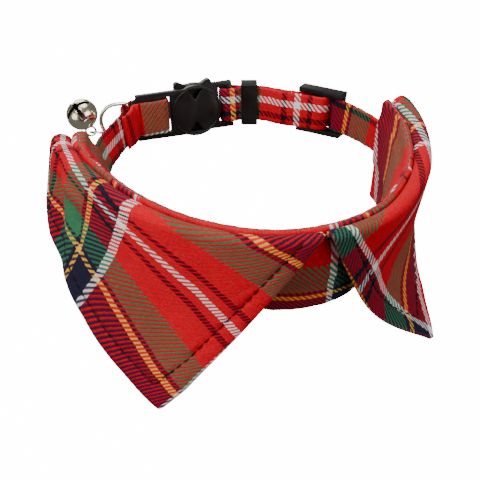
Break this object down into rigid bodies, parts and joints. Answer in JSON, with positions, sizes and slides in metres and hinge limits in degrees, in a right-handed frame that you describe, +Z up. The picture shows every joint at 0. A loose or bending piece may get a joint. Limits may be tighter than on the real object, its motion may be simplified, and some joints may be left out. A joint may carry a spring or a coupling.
{
  "type": "cat collar",
  "caption": "Tartan cotton cat collar made as a shirt collar with two pointed falls, on a narrow strap with breakaway buckle, slider, keeper loop, D-ring and bell.",
  "frame": {"origin": "centre of the neck hole at the strap's mid height, where the collar sits on the neck", "axes": "+Z up along the neck hole's axis, -Y to the collar's front where the two falls meet, +X to the right in the picture"},
  "size_m": [0.1034, 0.1003, 0.0512],
  "materials": {
    "tartan": "matte brushed cotton twill, traditional red tartan check",
    "black_plastic": "satin moulded black",
    "nickel": "polished pale nickel plate"
  },
  "bodies": {
    "root": {"neck_stand": "tartan", "left_lapel": "tartan", "right_lapel": "tartan", "strap": "tartan", "buckle_inner_half": "black_plastic", "buckle_outer_half": "black_plastic", "keeper_loop": "black_plastic", "slider": "black_plastic", "d_ring": "nickel", "jump_ring": "nickel", "bell": "nickel"}
  },
  "joints": []
}
